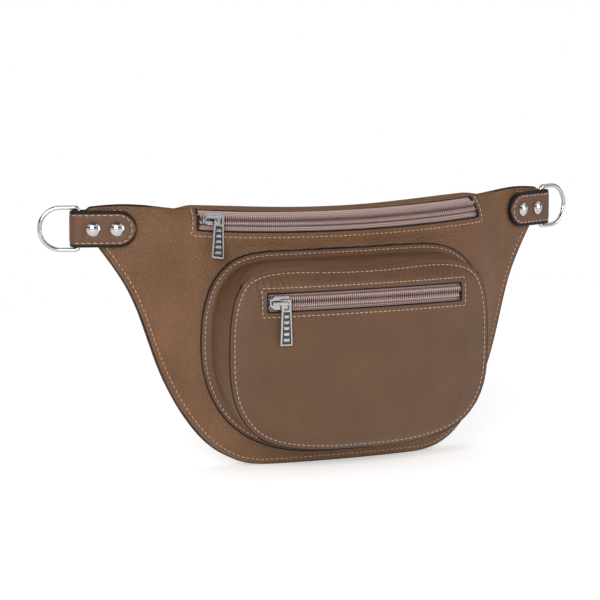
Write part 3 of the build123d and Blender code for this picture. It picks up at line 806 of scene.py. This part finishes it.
def bowed(s, across, out, middle, tilt, radius, inward):
    """Turns a cross-section point about the axis that stands a radius inward of the zip's middle."""
    up = np.array([0, math.sin(tilt), math.cos(tilt)])
    face = np.array([0, -math.cos(tilt), math.sin(tilt)])
    axis = np.cross(inward, [1.0, 0, 0])
    s, across, out = np.broadcast_arrays(s, across, out)
    offset = across[..., None] * up + out[..., None] * face - radius * inward
    reach, lengthwise = -(offset @ inward), offset @ axis
    turn = s / radius
    hub = middle + radius * inward
    sideways = np.zeros(s.shape + (3,))
    sideways[..., 0] = reach * np.sin(turn)
    return hub + lengthwise[..., None] * axis - (reach * np.cos(turn))[..., None] * inward + sideways


def tape(name, node, place, half_length, centre, thick=0.6):
    """A zip's tape: the cloth's centre line across it, given its thickness, carried along the zip."""
    across = 18
    centre = smooth_line(centre, across) if len(centre) > 2 else np.linspace(*np.array(centre, float), across)
    t = headings(centre)
    normal = np.stack([-t[:, 1], t[:, 0]], axis=1)
    side = normal * np.sqrt(np.clip(1 - np.linspace(-1, 1, across) ** 16, 0, 1))[:, None] * thick / 2
    loop = np.vstack([centre + side, (centre - side)[::-1]])
    width = np.concatenate([[0], np.cumsum(np.linalg.norm(np.diff(centre, axis=0), axis=1))])
    width = np.concatenate([width, width[::-1]])
    s = columns(-half_length, half_length, 1.6)
    ring = np.concatenate([[s[0]], s, [s[-1]]])
    a, b = np.tile(loop[:, 0], (len(ring), 1)), np.tile(loop[:, 1], (len(ring), 1))
    for end in (0, -1):
        a[end], b[end] = loop[across // 2]
    points = place(ring[:, None], a, b)
    # distance across the tape from its coil side, which places the painted shade under the coil
    inner = width[across - 1] if abs(centre[0, 0]) > abs(centre[-1, 0]) else 0.0
    along = np.stack(np.broadcast_arrays(ring[:, None], np.abs(width - inner)[None], 0.0), axis=-1)
    points, along, cloth = points.reshape(-1, 3), along.reshape(-1, 3), [tape_cloth]
    quads = lattice(len(ring), len(loop), wrap_columns=True)
    return put(name, points, quads, "bag", "zip_tape", cloth, along=along, stands_for=[node])


def coil(name, node, place, half_length, side, pitch=COIL_PITCH, wire=0.34):
    """One half of the chain: a wire wound in flattened turns, whose heads mesh with the other half's."""
    steps, sides = 12, 5
    turns = int(2 * half_length / pitch) - 1
    turn = np.arange(turns * steps + 1) * 2 * math.pi / steps + (math.pi if side > 0 else 0)
    s = (turn - turn[0]) * pitch / (2 * math.pi) - turns * pitch / 2 + (pitch / 2 if side > 0 else 0)
    across = 1.85 + 1.65 * blunt(np.cos(turn), 0.6)
    out = 1.5 + 0.95 * blunt(np.sin(turn), 0.6)
    line = np.stack([s, across * side, out], axis=1)
    t = headings(line)
    up = unit(np.cross(t, [1.0, 0.0, 0.0]))
    over = np.cross(t, up)
    head = 1 + 0.35 * ease(0.9, 0.2, across)
    around = np.linspace(0, 2 * math.pi, sides, endpoint=False)
    ring = up[:, None] * np.cos(around)[None, :, None] + over[:, None] * np.sin(around)[None, :, None]
    local = line[:, None] + ring * (wire * head)[:, None, None]
    first, last = (np.repeat(end[:, None], sides, axis=1) for end in (line[:1], line[-1:]))
    local = np.concatenate([first, local, last])
    points = place(local[..., 0], local[..., 1], local[..., 2]).reshape(-1, 3)
    quads = lattice(len(local), sides, wrap_columns=True)[:, ::-side]
    along = local.reshape(-1, 3)
    return put(name, points, quads, "bag", "zip_coil", [nylon], along=along, stands_for=[node])


def sewn_row(name, place, half_length, across, pitch=COIL_PITCH):
    """The thread that holds the coil on its tape: a row of short stitches over its turns."""
    s = columns(-half_length, half_length, 0.4)
    path = place(s, np.full_like(s, across), np.full_like(s, 2.75))
    normal = unit(place(s, np.full_like(s, across), np.full_like(s, 3.75)) - path)
    rows = stitches(path, normal, pitch=pitch, length=0.9, thick=0.28)
    return put(name, *rows, "bag", "zip_tape", [tape_thread])


tape("main_tape_lower", "main_zip_tape_lower", main_zip, WINDOW + 2, [(-9.3, 0), (-0.6, 0)])
turned_down = [(0.6, 0), (3, 0), (5.2, -0.25), (7.0, -2.2), (8.0, -5.0), (8.4, -8.0)]
tape("main_tape_upper", "main_zip_tape_upper", main_zip, WINDOW + 2, turned_down)
tape("pocket_tape_lower", "pocket_zip_tape_lower", pocket_zip, POCKET_WINDOW + 2, [(-7.5, 0), (-0.6, 0)])
tape("pocket_tape_upper", "pocket_zip_tape_upper", pocket_zip, POCKET_WINDOW + 2, [(0.6, 0), (7.5, 0)])
for zip_name, place, half_length in (("main", main_zip, WINDOW - 1), ("pocket", pocket_zip, POCKET_WINDOW - 1)):
    for half, side in (("lower", -1), ("upper", 1)):
        coil(f"{zip_name}_coil_{half}", f"{zip_name}_zip_coil_{half}", place, half_length, side)
        sewn_row(f"{zip_name}_coil_thread_{half}", place, half_length, side * COIL_LINE)


# ---- tabs ----
def wing_point(along, up, out, mirror):
    """A point in the wing's own plane: along it from the ring's bar, up, and out of its front."""
    x = BAR_X + along * math.cos(WING_ANGLE) + out * math.sin(WING_ANGLE)
    y = seam_y(BAR_X) + along * math.sin(WING_ANGLE) - out * math.cos(WING_ANGLE)
    return np.stack(np.broadcast_arrays(mirror * x, y, BAR_Z + up), axis=-1)


TAB_LONG = (BAR_X - TAB_END) / math.cos(WING_ANGLE)
LEAF_MIDDLE = TAB_SLOT / 2 + TAB_LEAF / 2
rivet_along = [(x - BAR_X) / math.cos(WING_ANGLE) for x in RIVETS]


def tab_path():
    """The folded tab's middle line (along, out) with its facing: front leaf, round the bar, back leaf."""
    round_end = -TAB_LONG + TAB_HALF * (1 - np.cos(np.linspace(0.0, math.pi / 2, 16)))
    leaf = np.concatenate([round_end, np.linspace(-TAB_LONG + TAB_HALF, 0, 31)[1:]])
    turn = np.linspace(0, math.pi, 14)[1:-1]
    along = np.concatenate([leaf, LEAF_MIDDLE * np.sin(turn), leaf[::-1]])
    facing = np.concatenate([np.zeros(len(leaf)), turn, np.full(len(leaf), math.pi)])
    return along, LEAF_MIDDLE * np.cos(facing), np.stack([np.sin(facing), np.cos(facing)], axis=1)


def tab_leather(name, node, mirror):
    """The tab: a strip folded round the bar, a round end on each leaf, dimpled at the rivets and the seam."""
    along, out, normal = tab_path()
    past = along + TAB_LONG
    before = np.clip(TAB_HALF - past, 0, None)
    half = np.maximum(np.sqrt(np.clip(TAB_HALF**2 - before**2, 0, None)) - TAB_PAINT, 0.02)
    share = np.concatenate([np.linspace(-1, 1, 25), [1.0], np.linspace(1, -1, 9), [-1.0]])
    level = np.concatenate([np.ones(25), [0.0], -np.ones(9), [0.0]]) * (TAB_LEAF / 2 - 0.02)
    up = half[:, None] * share[None]
    rise = np.tile(level, (len(along), 1))
    room = np.minimum(TAB_HALF - np.abs(up), past[:, None] + 0 * up)
    room = np.minimum(room, TAB_HALF - np.hypot(before[:, None], up))
    dip = 0.28 * np.exp(-((room - STITCH_IN) / 1.1) ** 2) + 0.7 * np.exp(-(room / 0.7) ** 2)
    for spot in rivet_along:
        dip = dip + 0.5 * np.exp(-(np.hypot(along[:, None] - spot, up) / 5.6) ** 8)
    ridge = 0.35 * np.exp(-((along + 4.5) / 1.2) ** 2)[:, None] * (room > 2)
    rise = np.where(level[None] > 0, rise - dip - ridge + 0.25, rise)
    a = along[:, None] + rise * normal[:, :1]
    b = out[:, None] + rise * normal[:, 1:]
    points = wing_point(a, up, b, mirror)
    first, last = points[:1].mean(1, keepdims=True), points[-1:].mean(1, keepdims=True)
    points = np.concatenate([np.repeat(first, len(share), 1), points, np.repeat(last, len(share), 1)])
    quads = lattice(len(points), len(share), wrap_columns=True)
    quads = quads[:, ::-1] if mirror < 0 else quads
    return put(name, points.reshape(-1, 3), quads, "bag", "brown_leather", [smooth], stands_for=[node])


def tab_edge_line(inset, level, step=0.8):
    """The tab's outline (along, up, out, facing) over both leaves and both turns round the bar, as one loop."""
    radius = TAB_HALF - inset
    turn = np.linspace(math.pi / 2, 3 * math.pi / 2, 40)
    arc = np.stack([-TAB_LONG + TAB_HALF + radius * np.cos(turn), radius * np.sin(turn)], axis=1)
    leaf = np.vstack([[0, radius], arc, [0, -radius]])
    leaf = evenly(leaf, step)
    bend = np.linspace(0, math.pi, 14)[1:-1]
    front = np.column_stack([leaf, np.zeros(len(leaf))])
    under = np.column_stack([np.zeros(len(bend)), np.full(len(bend), -radius), bend])
    rear = np.column_stack([leaf[::-1], np.full(len(leaf), math.pi)])
    over = np.column_stack([np.zeros(len(bend)), np.full(len(bend), radius), bend[::-1]])
    line = np.vstack([front, under, rear, over])
    along = line[:, 0] + level * np.sin(line[:, 2])
    return along, line[:, 1], level * np.cos(line[:, 2]), line[:, 2], len(leaf)


def tab_edge(name, mirror):
    """Edge paint round the tab: an oval bead on both leaves and round the fold."""
    along, up, out, facing, _ = tab_edge_line(1.15, LEAF_MIDDLE)
    middle = wing_point(along, up, out, mirror)
    normal = wing_point(along + np.sin(facing), up, out + np.cos(facing), mirror) - middle
    outward = unit(np.cross(headings(middle, True), normal)) * mirror
    points, quads = carried(middle, normal, outward, oval(TAB_LEAF / 2 - 0.02, 1.3, 16))
    return put(name, points, quads if mirror > 0 else quads[:, ::-1], "bag", "edge_paint", [painted])


def tab_stitches(name, mirror):
    """A row along each leaf's edge, from the bar round the end and back."""
    along, up, out, facing, count = tab_edge_line(STITCH_IN, TAB_SLOT / 2 + TAB_LEAF - 0.05)
    rows = []
    rear = count + 12
    for start in (0, rear):
        keep = np.arange(start - 3, start + count + 3) % len(along)
        path = wing_point(along[keep], up[keep], out[keep], mirror)
        normal = wing_point(along[keep], up[keep], out[keep] + np.cos(facing[keep]), mirror) - path
        rows.append(stitches(path, normal, pitch=4.1))
    return put(name, *gather(rows), "bag", "thread", [thread])


for side, mirror in (("left", -1), ("right", 1)):
    tab_leather(f"{side}_tab_leather", f"{side}_ring_tab", mirror)
    tab_edge(f"{side}_tab_edge", mirror)
    tab_stitches(f"{side}_tab_stitches", mirror)

# ---- metal that keeps its CAD shape ----
for name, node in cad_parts.items():
    metal = any(word in name for word in ("slider", "puller", "d_ring", "rivet"))
    if metal:
        node.data.materials.clear()
        node.data.materials.append(black if "inlay" in name else plated)


def grip_bars(name, node, body):
    """Five raised bars across a pull's enamel, each a rounded box in the enamel's own three directions."""
    spots = np.array([v.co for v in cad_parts[node].data.vertices]) / MM - SHIFT
    middle = spots.mean(0)
    axes = np.linalg.svd(spots - middle, full_matrices=False)[2]
    long, wide = axes[0] * np.sign(-axes[0][2]), axes[1]
    out = np.cross(long, wide)
    wide, out = (wide, out) if out[1] < 0 else (-wide, -out)
    reach, face = (spots - middle) @ long, ((spots - middle) @ out).max()
    rows, columns_round = 24, 9
    u = np.linspace(-math.pi, math.pi, rows, endpoint=False)[:, None]
    v = np.linspace(-math.pi / 2, math.pi / 2, columns_round)[None]
    a, b, c = blunt(np.cos(u)) * blunt(np.cos(v)), blunt(np.sin(u)) * blunt(np.cos(v)), blunt(np.sin(v)) + 0 * u
    quads, parts = lattice(rows, columns_round, wrap_rows=True), []
    for share in (0.14, 0.32, 0.5, 0.68, 0.86):
        spot = middle + long * (reach.min() + share * (reach.max() - reach.min())) + out * face
        half_wide = 1.5 + 0.6 * share  # the enamel widens towards the pull's end
        points = spot + 1.1 * a[..., None] * long + half_wide * b[..., None] * wide + 0.22 * c[..., None] * out
        parts.append((points.reshape(-1, 3), quads))
    put(name, *gather(parts), body, "plated_metal", [plated])


grip_bars("main_pull_bars", "main_puller_inlay", "main_pull")
grip_bars("pocket_pull_bars", "pocket_puller_inlay", "pocket_pull")


# ---- studio ----
def area_light(name, spot, target, size, power):
    """A soft box at a spot, facing a target."""
    data = bpy.data.lights.new(name, "AREA")
    data.shape, data.size, data.energy = "SQUARE", size, power
    light = bpy.data.objects.new(name, data)
    light.location = spot
    light.rotation_euler = (Arrow(spot) - Arrow(target)).to_track_quat("Z", "Y").to_euler()
    bpy.context.collection.objects.link(light)


def surround():
    """White behind the bag; for the metal, a room with a dark band over its horizon and a dark ceiling."""
    world = bpy.data.worlds.new("surround")
    bpy.context.scene.world = world
    world.use_nodes = True
    tree = world.node_tree
    back = tree.nodes["Background"]
    back.inputs["Color"].default_value = (1, 1, 1, 1)
    seen = add(tree, "ShaderNodeLightPath").outputs["Is Camera Ray"]
    towards = add(tree, "ShaderNodeTexCoord").outputs["Generated"]
    height = add(tree, "ShaderNodeSeparateXYZ", {0: towards}).outputs[2]
    uneven = add(tree, "ShaderNodeTexNoise", {"Vector": towards, "Scale": 2.2, "Detail": 1.0}).outputs[0]
    level = mapped(tree, maths(tree, "MULTIPLY_ADD", uneven, 0.5, height), -0.75, 1.25)
    room = add(tree, "ShaderNodeValToRGB", {0: level})
    stops = room.color_ramp.elements
    for spot, light in ((0.58, 0.9), (0.6, 0.02), (0.69, 0.02), (0.71, 0.9), (0.84, 0.8), (0.88, 0.1)):
        stops.new(spot).color = (light, light, light, 1)
    stops[0].color, stops[-1].color = (0.9, 0.9, 0.9, 1), (0.1, 0.1, 0.1, 1)
    strength = add(tree, "ShaderNodeMix", {0: seen, 2: room.outputs[0], 3: 1.0})
    tree.links.new(strength.outputs[0], back.inputs["Strength"])


def studio():
    """A pale floor that glows a little, so that it meets the surround unseen, and three soft boxes."""
    finish, _, shader = blank("pale_floor", Roughness=0.6, Emission_Strength=0.42)
    shader.inputs["Emission Color"].default_value = linear("#ffffff")
    shader.inputs["Base Color"].default_value = linear("#f4f4f4")
    mesh = bpy.data.meshes.new("floor")
    wide, low = 0.8, -0.0008
    corners = [(x * wide, y * wide, low) for x, y in ((-1, -1), (1, -1), (1, 1), (-1, 1))]
    mesh.from_pydata(corners, [], [(0, 1, 2, 3)])
    mesh.materials.append(finish)
    floor = bpy.data.objects.new("floor", mesh)
    bpy.context.collection.objects.link(floor)
    middle = (0, 0, 0.1)
    area_light("key", (-1.35, -1.7, 0.95), middle, 1.2, 40)
    area_light("fill", (1.6, -1.3, 0.6), middle, 1.2, 13)
    area_light("top", (0.1, 0.6, 1.9), middle, 1.3, 7)


def camera():
    """A long lens, a little above the bag and 25 degrees round to its left."""
    azimuth, elevation, distance = math.radians(-25), math.radians(7.6), 2.0
    across, up = math.cos(elevation), math.sin(elevation)
    back = Arrow((math.sin(azimuth) * across, -math.cos(azimuth) * across, up))
    data = bpy.data.cameras.new("camera")
    data.lens, data.sensor_width = 176.4, 36
    view = bpy.data.objects.new("camera", data)
    view.location = Arrow((-0.032, -0.0034, 0.1114)) + back * distance
    view.rotation_euler = back.to_track_quat("Z", "Y").to_euler()
    bpy.context.collection.objects.link(view)
    bpy.context.scene.camera = view


surround()
studio()
camera()
bpy.context.scene.view_settings.view_transform = "Standard"
